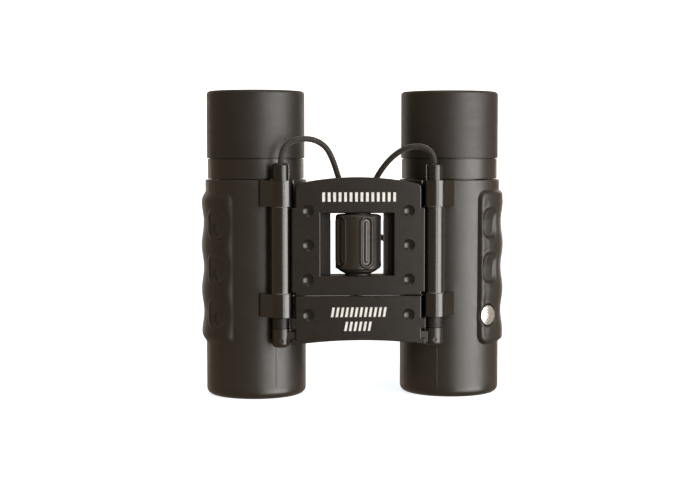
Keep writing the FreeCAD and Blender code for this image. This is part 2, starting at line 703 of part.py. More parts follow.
# Each strand leaves a hinge cap upwards, arches over behind the bridge, passes between the
# barrels and hangs down behind the right-hand one to the coil. Points are in the drawing frame.
LEFT_STRAND = [
    (-22.55, 0.0, 69.0), (-22.55, 0.0, 72.1), (-21.2, 0.1, 75.2), (-18.6, 0.5, 76.8),
    (-13.4, 1.2, 77.1), (-9.2, 2.7, 74.9), (-6.9, 4.4, 70.6), (-5.2, 6.4, 65.4),
    (-3.0, 8.3, 59.6), (-1.5, 9.9, 54.2), (-0.5, 13.6, 50.2), (0.1, 19.3, 48.4),
    (1.7, 26.2, 47.8), (5.6, 32.6, 47.6), (11.6, 36.8, 46.1), (17.4, 39.4, 40.8),
    (20.8, 40.6, 32.6), (22.1, 41.0, 23.6), (22.3, 41.2, 16.4), (22.2, 42.8, 11.0),
    (22.2, 46.4, 8.0)]
RIGHT_STRAND = [
    (22.55, 0.0, 69.0), (22.55, 0.0, 71.3), (21.2, 0.1, 73.7), (18.7, 0.5, 74.8),
    (14.8, 1.2, 74.6), (11.1, 2.6, 72.4), (8.0, 4.4, 68.9), (5.6, 6.5, 64.7),
    (3.5, 8.3, 59.4), (2.1, 9.5, 53.0), (1.5, 9.9, 46.4), (1.2, 10.3, 40.2),
    (0.8, 12.2, 34.7), (0.2, 16.6, 31.0), (0.1, 22.4, 28.9), (1.6, 28.7, 27.4),
    (5.9, 34.0, 25.7), (11.6, 37.3, 23.2), (17.2, 38.5, 18.6), (21.8, 38.3, 12.6),
    (25.3, 37.6, 7.2), (28.7, 37.0, 3.6)]


def smooth_path(points):
    """Straight runs joined by tangent arcs. Returns the wire, its length and the arcs' radii."""
    corners = [vec(*point) for point in points]
    edges = []
    radii = []
    start = corners[0]
    for before, corner, after in zip(corners, corners[1:], corners[2:]):
        run_in, run_out = corner - before, after - corner
        half_turn = run_in.getAngle(run_out) / 2
        setback = 0.45 * min(run_in.Length, run_out.Length)
        radius = setback / math.tan(half_turn)
        radii.append(radius)
        into = corner - FreeCAD.Vector(run_in).normalize() * setback
        out = corner + FreeCAD.Vector(run_out).normalize() * setback
        bisector = (into + out) * 0.5 - corner
        reach = radius / math.cos(half_turn) - radius
        middle = corner + bisector.normalize() * reach
        edges.append(line(start, into))
        edges.append(arc(into, middle, out))
        start = out
    edges.append(line(start, corners[-1]))
    wire = Part.Wire(edges)
    return wire, wire.Length, radii


def strand(name, points):
    wire, length, radii = smooth_path(points)
    start, heading = vec(*points[0]), vec(*points[1]) - vec(*points[0])
    profile = Part.Wire(Part.makeCircle(STRAP_R, start, heading))
    solid = wire.makePipeShell([profile], True, False)
    expected = math.pi * STRAP_R ** 2 * length
    print(name, "length %.1f" % length, "volume / expected %.4f" % (solid.Volume / expected),
          "radii", " ".join("%.1f" % radius for radius in radii))
    return solid


def strap_coil():
    return tube(COIL_MID_R + COIL_HALF_W, COIL_MID_R - COIL_HALF_W, COIL_BOTTOM, COIL_TOP, COIL_X, COIL_Y)


def strap_tie():
    """Band that holds the coil's turns together, on its far side."""
    inner_y, outer_y = COIL_Y + COIL_MID_R - COIL_HALF_W, COIL_Y + COIL_MID_R + COIL_HALF_W
    x0, x1 = COIL_X - TIE_W / 2, COIL_X + TIE_W / 2
    slack = 0.5
    band = block(x0, x1, inner_y - slack - TIE_T, outer_y + TIE_T, COIL_BOTTOM - TIE_T, COIL_TOP + TIE_T)
    return band.cut(block(x0 - 1, x1 + 1, inner_y - slack, outer_y, COIL_BOTTOM, COIL_TOP))


# ---------------------------------------------------------------- write everything

os.makedirs("parts", exist_ok=True)

for side_name, sign in SIDES:
    build_barrel(side_name, sign)
    save("hinge_tube_" + side_name, hinge_tube(sign))
    save("hinge_cap_" + side_name, hinge_cap(sign))
    save("push_rod_" + side_name, push_rod(sign))

save("hinge_washers", hinge_washers())
save("bridge_frame", bridge_frame())
save("upper_cover", upper_cover())
save("back_cover", back_cover())
save("cover_screws", cover_screws())
save("focus_wheel_core", focus_wheel_core())
save("focus_wheel_grip", focus_wheel_grip())
save("focus_screw", focus_screw())
save("focus_yoke", focus_yoke())
save("lower_cover", lower_cover())
save("grub_screws", grub_screws())
save("strap_strand_left", strand("strap_strand_left", LEFT_STRAND))
save("strap_strand_right", strand("strap_strand_right", RIGHT_STRAND))
save("strap_coil", strap_coil())
save("strap_tie", strap_tie())
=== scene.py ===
import math

import bpy
import numpy as np
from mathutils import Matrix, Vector


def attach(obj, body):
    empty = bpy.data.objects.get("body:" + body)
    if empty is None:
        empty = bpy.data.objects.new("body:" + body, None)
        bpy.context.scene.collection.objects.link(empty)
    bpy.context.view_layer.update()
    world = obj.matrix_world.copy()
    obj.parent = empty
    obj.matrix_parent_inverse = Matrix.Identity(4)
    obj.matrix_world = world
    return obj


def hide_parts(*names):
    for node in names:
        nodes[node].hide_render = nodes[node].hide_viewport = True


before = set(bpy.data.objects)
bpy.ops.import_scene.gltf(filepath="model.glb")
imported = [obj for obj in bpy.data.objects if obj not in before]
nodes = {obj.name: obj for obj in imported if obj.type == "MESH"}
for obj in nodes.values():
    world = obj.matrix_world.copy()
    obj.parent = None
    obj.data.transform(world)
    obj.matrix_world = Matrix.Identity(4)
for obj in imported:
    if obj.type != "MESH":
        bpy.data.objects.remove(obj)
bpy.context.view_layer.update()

# Folding binoculars. Lengths are millimetres in the CAD's drawing frame, whose y = 0 is the plane of the
# two hinges, and at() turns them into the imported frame's metres. A side is -1 for left and 1 for right.
MM = 0.001
HINGE_X = 22.55
HINGE_TO_BARREL = 18.75
FOLD = math.radians(21.8)
BARREL_X = HINGE_X + HINGE_TO_BARREL * math.sin(FOLD)
BARREL_Y = HINGE_TO_BARREL * math.cos(FOLD)
BARREL_TOP_R = 15.25
WHEEL_R = 6.9
HINGE_Y = -(BARREL_Y + BARREL_TOP_R - WHEEL_R) / 2
PLATE_FRONT = -3.0
SIDES = (("left", -1), ("right", 1))


def at(x, y, z):
    """Point of the drawing frame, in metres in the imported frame."""
    return Vector((x * MM, (y + HINGE_Y) * MM, z * MM))


# ---------------------------------------------------------------- camera

CAMERA_AZ = math.radians(4.5)
CAMERA_DISTANCE = 450.0
CAMERA_HEIGHT = 72.0
CAMERA_SENSOR = 36.0
CAMERA_LENS = 76.0
AIM = (-2.3, 0.0, 47.8)

camera_data = bpy.data.cameras.new("camera")
camera_data.sensor_width = CAMERA_SENSOR
camera_data.lens = CAMERA_LENS
camera_data.clip_start = 0.01
camera_data.clip_end = 20.0
camera = bpy.data.objects.new("camera", camera_data)
bpy.context.scene.collection.objects.link(camera)
reach = CAMERA_DISTANCE - BARREL_Y
camera.location = at(AIM[0] - reach * math.sin(CAMERA_AZ), -reach * math.cos(CAMERA_AZ), CAMERA_HEIGHT)
camera.rotation_euler = (at(*AIM) - camera.location).to_track_quat("-Z", "Y").to_euler()
bpy.context.scene.camera = camera


# ---------------------------------------------------------------- materials

def tree_of(name):
    """New material, with its node tree and its shader."""
    made = bpy.data.materials.new(name)
    made.use_nodes = True
    tree = made.node_tree
    return made, tree, tree.nodes["Principled BSDF"]


def noise(tree, scale, detail=4.0, rough=0.55, stretch=None):
    """Noise in object coordinates, in features per metre, stretched along the axes if asked."""
    source = tree.nodes.new("ShaderNodeTexCoord")
    vector = source.outputs["Object"]
    if stretch:
        mapping = tree.nodes.new("ShaderNodeMapping")
        mapping.inputs["Scale"].default_value = stretch
        tree.links.new(vector, mapping.inputs["Vector"])
        vector = mapping.outputs["Vector"]
    texture = tree.nodes.new("ShaderNodeTexNoise")
    texture.inputs["Scale"].default_value = scale
    texture.inputs["Detail"].default_value = detail
    texture.inputs["Roughness"].default_value = rough
    tree.links.new(vector, texture.inputs["Vector"])
    return texture.outputs["Fac"]


def ranged(tree, value, low, high, start=0.3, end=0.7):
    """Noise stretched to run from low to high."""
    node = tree.nodes.new("ShaderNodeMapRange")
    node.inputs["From Min"].default_value = start
    node.inputs["From Max"].default_value = end
    node.inputs["To Min"].default_value = low
    node.inputs["To Max"].default_value = high
    tree.links.new(value, node.inputs["Value"])
    return node.outputs["Result"]


def blended(tree, value, dark, light, start=0.3, end=0.7):
    """Colour between dark and light, by noise."""
    ramp = tree.nodes.new("ShaderNodeValToRGB")
    ramp.color_ramp.elements[0].position = start
    ramp.color_ramp.elements[0].color = (*dark, 1.0)
    ramp.color_ramp.elements[1].position = end
    ramp.color_ramp.elements[1].color = (*light, 1.0)
    tree.links.new(value, ramp.inputs["Fac"])
    return ramp.outputs["Color"]


def bumped(tree, shader, height, strength, distance):
    """Raise the shader's surface by noise."""
    bump = tree.nodes.new("ShaderNodeBump")
    bump.inputs["Strength"].default_value = strength
    bump.inputs["Distance"].default_value = distance
    tree.links.new(height, bump.inputs["Height"])
    tree.links.new(bump.outputs["Normal"], shader.inputs["Normal"])


def surface(name, dark, light, rough=(0.4, 0.5), grain=3500.0, grain_strength=0.25, grain_depth=0.00003,
            mottle=160.0, specular=0.5, coat=0.0, coat_rough=0.15, metallic=0.0, stretch=None):
    """Moulded, painted or metal surface: mottled colour, uneven roughness and a fine raised grain."""
    made, tree, shader = tree_of(name)
    patches = noise(tree, mottle)
    tree.links.new(blended(tree, patches, dark, light), shader.inputs["Base Color"])
    smudges = noise(tree, mottle * 3.1, detail=6.0, stretch=stretch)
    tree.links.new(ranged(tree, smudges, *rough), shader.inputs["Roughness"])
    pebbles = noise(tree, grain, detail=3.0, stretch=stretch)
    bumped(tree, shader, pebbles, grain_strength, grain_depth)
    shader.inputs["Specular IOR Level"].default_value = specular
    shader.inputs["Coat Weight"].default_value = coat
    shader.inputs["Coat Roughness"].default_value = coat_rough
    shader.inputs["Metallic"].default_value = metallic
    return made


def optical(name, tint, rough, ior):
    """Coated glass, with a faint uneven tint and polish."""
    made, tree, shader = tree_of(name)
    film = noise(tree, 90.0, detail=2.0)
    tree.links.new(blended(tree, film, tint, [min(1.0, c * 1.06) for c in tint]), shader.inputs["Base Color"])
    tree.links.new(ranged(tree, noise(tree, 700.0), 0.0, rough), shader.inputs["Roughness"])
    shader.inputs["IOR"].default_value = ior
    shader.inputs["Transmission Weight"].default_value = 0.9
    shader.inputs["Coat Weight"].default_value = 0.6
    shader.inputs["Coat Tint"].default_value = (0.8, 0.68, 0.95, 1.0)
    return made


ARMOUR = surface("armour_rubber", (0.0115, 0.0098, 0.0085), (0.016, 0.0138, 0.0122), rough=(0.40, 0.47),
                 grain=4200.0, grain_strength=0.22, specular=0.5)
EYECUP = surface("eyecup_rubber", (0.011, 0.0092, 0.008), (0.0155, 0.0132, 0.0118), rough=(0.47, 0.54),
                 grain=2600.0, grain_strength=0.3, specular=0.41, stretch=(0.2, 0.2, 1.0))
RIM = surface("rim_plastic", (0.010, 0.0085, 0.0074), (0.0135, 0.0116, 0.0104), rough=(0.34, 0.42),
              grain=5200.0, grain_strength=0.12, specular=0.5)
RING = surface("ring_plastic", (0.0115, 0.0097, 0.0084), (0.0155, 0.0134, 0.0118), rough=(0.36, 0.44),
               grain=5200.0, grain_strength=0.12, specular=0.45)
PAD = surface("pad_rubber", (0.0105, 0.0088, 0.0076), (0.0145, 0.0124, 0.011), rough=(0.42, 0.5),
              grain=3000.0, grain_strength=0.18, specular=0.42)
PLATE = surface("plate_paint", (0.0055, 0.0043, 0.0033), (0.008, 0.0062, 0.005), rough=(0.27, 0.31),
                grain=6500.0, grain_strength=0.12, specular=0.38)
FRAME_BLACK = surface("frame_black", (0.0045, 0.0038, 0.0032), (0.0075, 0.0064, 0.0055), rough=(0.45, 0.58),
                      grain=4200.0, grain_strength=0.25, specular=0.35)
LUG = surface("lug_plastic", (0.003, 0.0024, 0.002), (0.005, 0.004, 0.0034), rough=(0.18, 0.24),
              grain=1500.0, grain_strength=0.06, specular=0.6)
TUBE = surface("tube_anodised", (0.006, 0.0045, 0.0036), (0.009, 0.007, 0.0056), rough=(0.22, 0.29),
               grain=5200.0, grain_strength=0.05, specular=0.44, coat=0.28, coat_rough=0.16,
               stretch=(1.0, 1.0, 0.05))
CAP = surface("cap_plastic", (0.005, 0.0036, 0.003), (0.008, 0.006, 0.005), rough=(0.2, 0.28),
              grain=1700.0, grain_strength=0.05, specular=0.42)
CLAMP = surface("clamp_paint", (0.009, 0.007, 0.0057), (0.013, 0.0103, 0.0085), rough=(0.3, 0.4),
                grain=5200.0, grain_strength=0.16, specular=0.5)
WHEEL = surface("wheel_rubber", (0.010, 0.0083, 0.0072), (0.0145, 0.0123, 0.0108), rough=(0.33, 0.42),
                grain=3800.0, grain_strength=0.14, specular=0.5)
STEEL = surface("ground_steel", (0.32, 0.31, 0.30), (0.42, 0.41, 0.40), rough=(0.22, 0.34), grain=7000.0,
                grain_strength=0.1, metallic=1.0, stretch=(1.0, 1.0, 0.08))
BLACK_STEEL = surface("black_steel", (0.05, 0.046, 0.043), (0.075, 0.07, 0.066), rough=(0.28, 0.4),
                      grain=6000.0, grain_strength=0.15, metallic=0.8)
BRASS = surface("turned_brass", (0.48, 0.33, 0.12), (0.58, 0.42, 0.17), rough=(0.2, 0.32), grain=6000.0,
                grain_strength=0.12, metallic=1.0, stretch=(0.1, 0.1, 1.0))
NYLON = surface("nylon", (0.16, 0.155, 0.145), (0.22, 0.215, 0.2), rough=(0.35, 0.45), grain=3000.0,
                grain_strength=0.1)
CELL = surface("cell_anodised", (0.006, 0.0058, 0.0056), (0.011, 0.0106, 0.0102), rough=(0.35, 0.5),
               grain=6000.0, grain_strength=0.2, metallic=0.4, stretch=(0.2, 0.2, 1.0))
BADGE = surface("badge_silver", (0.5, 0.51, 0.52), (0.64, 0.65, 0.66), rough=(0.2, 0.3), grain=2600.0,
                grain_strength=0.12, metallic=0.85)
INK = surface("print_white", (0.5, 0.5, 0.5), (0.62, 0.62, 0.62), rough=(0.45, 0.6), grain=7000.0,
              grain_strength=0.2, mottle=900.0, specular=0.3)
SEAM = surface("mould_seam", (0.007, 0.006, 0.0052), (0.011, 0.0094, 0.0082), rough=(0.38, 0.48),
               grain=4200.0, grain_strength=0.1)
LENS = optical("coated_lens", (0.4, 0.4, 0.46), 0.02, 1.52)
PRISM = optical("prism_glass", (0.95, 0.97, 0.96), 0.02, 1.57)


def strap_material():
    """Matt woven nylon, with single fibres in two shades and a little sheen."""
    made, tree, shader = tree_of("strap_braid")
    fibres = noise(tree, 5200.0, detail=5.0)
    tree.links.new(blended(tree, fibres, (0.006, 0.0046, 0.0038), (0.021, 0.016, 0.013)),
                   shader.inputs["Base Color"])
    tree.links.new(ranged(tree, noise(tree, 900.0), 0.55, 0.8), shader.inputs["Roughness"])
    bumped(tree, shader, noise(tree, 9000.0), 0.5, 0.00005)
    shader.inputs["Specular IOR Level"].default_value = 0.35
    shader.inputs["Sheen Weight"].default_value = 0.25
    shader.inputs["Sheen Roughness"].default_value = 0.5
    return made


STRAP = strap_material()

FINISH = {
    "armour": ARMOUR, "barrel_body": LUG, "objective_rim": RIM, "eyecup": EYECUP,
    "eyepiece_ring": RING, "diopter_ring": RING, "eyepiece_cell": CELL, "objective_cell": CELL,
    "objective_retainer": CELL, "field_lens": LENS, "eye_lens": LENS, "objective_lens": LENS,
    "roof_prism": PRISM, "half_penta_prism": PRISM, "prism_holder": FRAME_BLACK,
    "focus_arm": FRAME_BLACK, "badge_disc": BADGE, "upper_cover": PLATE, "lower_cover": PLATE,
    "bridge_frame": FRAME_BLACK, "back_cover": FRAME_BLACK, "cover_screws": BLACK_STEEL,
    "grub_screws": BLACK_STEEL, "hinge_tube": TUBE, "hinge_cap": CAP, "hinge_washers": NYLON,
    "push_rod": STEEL, "focus_yoke": CLAMP, "focus_screw": BRASS, "focus_wheel_core": FRAME_BLACK,
}
for node_name, shown in nodes.items():
    stem = node_name.replace("_left", "").replace("_right", "")
    if stem in FINISH:
        shown.data.materials.clear()
        shown.data.materials.append(FINISH[stem])


# ---------------------------------------------------------------- mesh helpers

def piece(name, verts, faces, body, material, smooth=True):
    """New visible mesh, riding on a body and finished with the given material."""
    mesh = bpy.data.meshes.new(name)
    mesh.from_pydata([tuple(v) for v in verts], [], faces)
    mesh.polygons.foreach_set("use_smooth", [smooth] * len(mesh.polygons))
    mesh.materials.append(material)
    mesh.update()
    made = bpy.data.objects.new(name, mesh)
    bpy.context.scene.collection.objects.link(made)
    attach(made, body)
    return made


def grid_faces(rows, columns, wrap_columns=False):
    """Quads over a grid of vertices that is listed row by row."""
    faces = []
    for i in range(rows - 1):
        for j in range(columns if wrap_columns else columns - 1):
            a, b = i * columns + j, i * columns + (j + 1) % columns
            c, d = (i + 1) * columns + (j + 1) % columns, (i + 1) * columns + j
            faces.append((a, b, c, d))
    return faces


def tube_faces(rows, columns):
    """Quads round a tube whose rings are the grid's rows, with a flat cap at each end."""
    faces = grid_faces(rows, columns, wrap_columns=True)
    faces.append(tuple(range(columns - 1, -1, -1)))
    faces.append(tuple((rows - 1) * columns + j for j in range(columns)))
    return faces


def barrel_point(side, angle, radius, z):
    """Point on a barrel, at an angle from its hinge towards its outer side, in metres."""
    x = radius * math.sin(angle)
    y = -radius * math.cos(angle)
    turned_x = x * math.cos(FOLD) + y * math.sin(FOLD)
    turned_y = -x * math.sin(FOLD) + y * math.cos(FOLD)
    return at(side * (BARREL_X + turned_x), BARREL_Y + turned_y, z)


SKIN_R, SKIN_FOOT, SKIN_TOP = 15.0, 3.0, 64.9
SKIN_RISE = (BARREL_TOP_R - SKIN_R) / (SKIN_TOP - SKIN_FOOT)


def skin_radius(z):
    """Radius of a barrel's armour at a height."""
    return SKIN_R + SKIN_RISE * (z - SKIN_FOOT)


def smooth_step(value, start, end):
    """0 before start, 1 after end, and a soft rise between them."""
    t = min(1.0, max(0.0, (value - start) / (end - start)))
    return t * t * (3 - 2 * t)


def ridge(distance, middle, width):
    """Soft ridge of height 1, at one distance from an edge."""
    return math.exp(-((distance - middle) / width) ** 2)


# ---------------------------------------------------------------- grip pads

PAD_BOTTOM, PAD_TOP = 15.3, 62.1
PAD_START, PAD_END = 46.5, 140.0      # degrees round the barrel, from its hinge
PAD_R, PAD_WAVE, PAD_PITCH, PAD_MIDDLE = 16.1, 0.32, 13.35, 38.5
PAD_CORNER = 3.2
PAD_SINK = 0.12                       # how far a pad's foot lies under the skin
PAD_COLUMNS, PAD_ROWS = 150, 250
PAD_SHOULDER = {-1: 3.3, 1: 1.35}     # width of the sloping border, by side
BORDER_RIDGE, BORDER_GROOVE = 0.1, 0.08
RECESS_AT = {-1: 71.0, 1: 64.0}
RECESS_HALF = {-1: (3.75, 4.0), 1: (3.3, 4.7)}
RECESS_DEEP = {-1: 0.26, 1: 0.62}
RECESS_LIP = 0.17
RECESS_ROWS = {-1: (1, 0, -1), 1: (1, 0)}
RECESS_REACH = 2.0                    # how far outside a recess its lip still shows
PIT_X, PIT_Z, PIT_R, PIT_WALL, PIT_DEEP = 0.3, -1.7, 1.4, 0.35, 0.62
BADGE_AT, BADGE_Z, BADGE_R = 61.5, 24.3, 3.0
BADGE_WELL, BADGE_LIP = 0.75, 0.12


def box_distance(x, y, half_x, half_y, corner):
    """Distance outside a rounded rectangle, negative inside it."""
    dx, dy = abs(x) - half_x + corner, abs(y) - half_y + corner
    outside = math.hypot(max(dx, 0.0), max(dy, 0.0))
    return outside + min(max(dx, dy), 0.0) - corner


def recess_depth(x, y, half_x, half_y, depth):
    """Thumb-shaped hollow with a steep lower lip, and a soft raised lip round it."""
    outside = box_distance(x, y, half_x, half_y, min(half_x, half_y) * 0.86)
    hollow = smooth_step(-outside, 0.0, 0.9) * (0.72 - 0.28 * y / half_y)
    dish = max(0.0, 1 - (x / half_x) ** 2) * max(0.0, 1 - ((y + 0.3 * half_y) / half_y) ** 2)
    lip = ridge(outside, 0.35, 0.35)
    return depth * (hollow + 0.45 * dish * smooth_step(-outside, 0.3, 1.2)) - RECESS_LIP * lip


def arc_length(angle, start):
    """Length along a pad between two angles in degrees."""
    return math.radians(angle - start) * PAD_R


def pad_radius(side, angle, z):
    """Outer radius of a pad at an angle from the hinge in degrees, and a height."""
    half_x = math.radians(PAD_END - PAD_START) / 2 * PAD_R
    half_z = (PAD_TOP - PAD_BOTTOM) / 2
    from_middle = arc_length(angle, (PAD_START + PAD_END) / 2)
    outside = box_distance(from_middle, z - (PAD_TOP + PAD_BOTTOM) / 2, half_x, half_z, PAD_CORNER)
    skin = skin_radius(z) - PAD_SINK
    wave = math.cos(2 * math.pi * (z - PAD_MIDDLE) / PAD_PITCH)
    top = PAD_R - PAD_WAVE * wave * smooth_step(-outside, 0.5, 3.0)
    radius = skin + (top - skin) * smooth_step(-outside, 0.0, PAD_SHOULDER[side])
    radius += BORDER_RIDGE * ridge(outside, -1.7, 0.6) - BORDER_GROOVE * ridge(outside, -3.0, 0.7)
    recess_x = arc_length(angle, RECESS_AT[side])
    half_w, half_h = RECESS_HALF[side]
    for row in RECESS_ROWS[side]:
        recess_z = z - (PAD_MIDDLE + row * PAD_PITCH)
        if abs(recess_z) < half_h + RECESS_REACH and abs(recess_x) < half_w + RECESS_REACH:
            radius -= recess_depth(recess_x, recess_z, half_w, half_h, RECESS_DEEP[side])
            if side < 0:
                from_pit = math.hypot(recess_x - PIT_X, recess_z - PIT_Z)
                radius -= PIT_DEEP * smooth_step(-from_pit, -PIT_R - PIT_WALL, -PIT_R)
    if side > 0:
        from_badge = math.hypot(arc_length(angle, BADGE_AT), z - BADGE_Z) - BADGE_R
        radius -= BADGE_WELL * smooth_step(-from_badge, -0.45, -0.12)
        radius += BADGE_LIP * ridge(from_badge, 0.9, 0.4)
    return max(radius, skin)


def grip_pad(name, side):
    """Wavy rubber pad with hollows for the fingers, on the outer side of a barrel."""
    verts = []
    for i in range(PAD_ROWS):
        z = PAD_BOTTOM + (PAD_TOP - PAD_BOTTOM) * i / (PAD_ROWS - 1)
        for j in range(PAD_COLUMNS):
            angle = PAD_START + (PAD_END - PAD_START) * j / (PAD_COLUMNS - 1)
            verts.append(barrel_point(side, math.radians(angle), pad_radius(side, angle, z), z))
    faces = grid_faces(PAD_ROWS, PAD_COLUMNS)
    if side > 0:
        faces = [tuple(reversed(face)) for face in faces]
    pad = piece("grip_" + name, verts, faces, name + "_barrel", PAD)
    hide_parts("grip_pad_" + name)


for side_name, sign in SIDES:
    grip_pad(side_name, sign)


# ---------------------------------------------------------------- badge

BADGE_SEAT, BADGE_EDGE, BADGE_DOME = PAD_R - 0.55, 0.22, 0.5


def domed_badge():
    """Plain silver disc with a gently domed face, let into the right-hand pad."""
    columns, rings = 64, 16
    centre = math.radians(BADGE_AT)
    origin = barrel_point(1, centre, BADGE_SEAT, BADGE_Z)
    facing = (barrel_point(1, centre, PAD_R, BADGE_Z) - origin).normalized()
    across = Vector((0, 0, 1)).cross(facing)
    profile = [(BADGE_R, 0.0)]
    for k in range(rings):
        reach = BADGE_R * (1 - k / rings)
        profile.append((reach, BADGE_EDGE + BADGE_DOME * (1 - (reach / BADGE_R) ** 2)))
    verts = []
    for reach, out in profile:
        for j in range(columns):
            turn = 2 * math.pi * j / columns
            offset = across * (reach * math.cos(turn)) + Vector((0, 0, reach * math.sin(turn)))
            verts.append(origin + (offset + facing * out) * MM)
    badge = piece("badge", verts, tube_faces(len(profile), columns), "right_barrel", BADGE)
    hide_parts("badge_disc")


domed_badge()


# ---------------------------------------------------------------- focusing wheel

WHEEL_BOTTOM, WHEEL_BEVEL_TOP, WHEEL_TOP = 37.55, 39.2, 54.95
WHEEL_BEVEL, WHEEL_EDGE = 3.0, 0.8    # inward step at the foot, and the rounding at the top
RIBS = 5
RIB_TURN = math.radians(-90 + 18.5)
RIB_HALF_W, RIB_HALF_H = 1.8, 7.25
RIB_RISE = 0.34
BAR_HALF_W, BAR_HALF_H, BAR_DROP = 0.62, 6.0, 0.08


def wheel_radius(angle, z):
    """Each rib is a long raised ring, with a groove and a rounded bar inside it."""
    pitch = 2 * math.pi / RIBS
    offset = (angle - RIB_TURN + pitch / 2) % pitch - pitch / 2
    x = offset * WHEEL_R
    height = z - (WHEEL_BEVEL_TOP + WHEEL_TOP) / 2
    outside = box_distance(x, height, RIB_HALF_W, RIB_HALF_H, RIB_HALF_W - 0.01)
    inside = smooth_step(-outside, 0.1, 0.7)
    bar = smooth_step(-box_distance(x, height, BAR_HALF_W, BAR_HALF_H, BAR_HALF_W - 0.01), -0.25, 0.45)
    relief = ridge(outside, 0.0, 0.36) - inside * (1 - bar)
    return WHEEL_R - RIB_RISE + RIB_RISE * relief - BAR_DROP * inside * bar


def wheel_profile():
    """Height and inward step of each ring of the wheel, from its foot to its rounded top."""
    bevel_steps, side_steps, edge_steps = 12, 150, 8
    foot = WHEEL_BOTTOM + 0.1
    profile = [(WHEEL_BOTTOM, WHEEL_BEVEL + 0.3), (WHEEL_BOTTOM + 0.06, WHEEL_BEVEL + 0.1)]
    for k in range(1, bevel_steps + 1):
        done = k / bevel_steps
        profile.append((foot + (WHEEL_BEVEL_TOP - foot) * done ** 1.1, WHEEL_BEVEL * (1 - done)))
    side_height = WHEEL_TOP - WHEEL_BEVEL_TOP - WHEEL_EDGE
    for k in range(1, side_steps):
        profile.append((WHEEL_BEVEL_TOP + side_height * k / side_steps, 0.0))
    for k in range(edge_steps + 1):
        turn = math.pi / 2 * k / edge_steps
        profile.append((WHEEL_TOP - WHEEL_EDGE * (1 - math.sin(turn)), WHEEL_EDGE * (1 - math.cos(turn))))
    return profile


def focus_wheel():
    """Ribbed rubber tyre of the focusing wheel."""
    columns = 360
    profile = wheel_profile()
    verts = []
    for z, inward in profile:
        for j in range(columns):
            angle = 2 * math.pi * j / columns
            radius = wheel_radius(angle, z) - inward
            verts.append(at(radius * math.cos(angle), radius * math.sin(angle), z))
    grip = piece("wheel_grip", verts, tube_faces(len(profile), columns), "focus_wheel", WHEEL)
    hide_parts("focus_wheel_grip")


focus_wheel()


# ---------------------------------------------------------------- printed ornament

INK_PROUD, INK_SUNK = 0.03, 0.02
BAR_SHARE = 0.5                       # of each bar's pitch that the bar fills


def printed_bars(name, body, x0, x1, z0, z1, count, lean):
    """Row of plain slanting bars, in white print on the front plate."""
    pitch = (x1 - x0) / count
    width = pitch * BAR_SHARE
    verts, faces = [], []
    for k in range(count):
        left = x0 + k * pitch + (pitch - width) / 2
        corners = [(left, z0), (left + width, z0), (left + width + lean, z1), (left + lean, z1)]
        base = len(verts)
        for depth in (PLATE_FRONT - INK_PROUD, PLATE_FRONT + INK_SUNK):
            verts += [at(x, depth, z) for x, z in corners]
        faces.append((base, base + 1, base + 2, base + 3))
        for a in range(4):
            b = (a + 1) % 4
            faces.append((base + b, base + a, base + 4 + a, base + 4 + b))
    piece(name, verts, faces, body, INK, smooth=False)


printed_bars("print_top", "bridge", -11.0, 11.3, 58.7, 61.4, 14, 0.0)
printed_bars("print_middle", "focus_carriage", -8.5, 8.1, 25.0, 27.8, 12, 0.5)
printed_bars("print_low", "focus_carriage", -4.6, 3.7, 20.9, 23.6, 6, 0.5)


# ---------------------------------------------------------------- mould seams

SEAM_BOTTOM, SEAM_TOP = 3.1, 17.6
SEAM_SECTION = [(-0.16, -0.04), (-0.06, 0.05), (0.06, 0.05), (0.16, -0.04)]


def mould_seam(name, side):
    """Fine raised parting line down the front of the armour, under the hinge."""
    rows = 40
    verts = []
    for i in range(rows):
        z = SEAM_BOTTOM + (SEAM_TOP - SEAM_BOTTOM) * i / (rows - 1)
        for x, proud in SEAM_SECTION:
            verts.append(barrel_point(side, x / SKIN_R, skin_radius(z) + proud, z))
    faces = grid_faces(rows, len(SEAM_SECTION))
    if side > 0:
        faces = [tuple(reversed(face)) for face in faces]
    piece(name + "_seam", verts, faces, name + "_barrel", SEAM)


for side_name, sign in SIDES:
    mould_seam(side_name, sign)


# ---------------------------------------------------------------- neck strap

STRAP_D = 1.8
LEFT_STRAND = [
    (-22.55, 0.0, 69.0), (-22.55, 0.0, 72.1), (-21.2, 0.1, 75.2), (-18.6, 0.5, 76.8),
    (-13.4, 1.2, 77.1), (-9.2, 2.7, 74.9), (-6.9, 4.4, 70.6), (-5.2, 6.4, 65.4),
    (-3.0, 8.3, 59.6), (-1.5, 9.9, 54.2), (-0.5, 13.6, 50.2), (0.1, 19.3, 48.4),
    (1.7, 26.2, 47.8), (5.6, 32.6, 47.6), (11.6, 36.8, 46.1), (17.4, 39.4, 40.8),
    (20.8, 40.6, 32.6), (22.1, 41.0, 23.6), (22.3, 41.2, 16.4), (22.2, 42.8, 11.0),
    (22.2, 46.4, 8.0)]
RIGHT_STRAND = [
    (22.55, 0.0, 69.0), (22.55, 0.0, 71.3), (21.2, 0.1, 73.7), (18.7, 0.5, 74.8),
    (14.8, 1.2, 74.6), (11.1, 2.6, 72.4), (8.0, 4.4, 68.9), (5.6, 6.5, 64.7),
    (3.5, 8.3, 59.4), (2.1, 9.5, 53.0), (1.5, 9.9, 46.4), (1.2, 10.3, 40.2),
    (0.8, 12.2, 34.7), (0.2, 16.6, 31.0), (0.1, 22.4, 28.9), (1.6, 28.7, 27.4),
    (5.9, 34.0, 25.7), (11.6, 37.3, 23.2), (17.2, 38.5, 18.6), (21.8, 38.3, 12.6),
    (25.3, 37.6, 7.2), (28.7, 37.0, 3.6)]
COIL_X, COIL_Y = 34.0, 48.6
COIL_RADII = (8.2, 10.0, 11.8)
COIL_LAYERS = (6.7, 4.9, 3.1, 1.3)


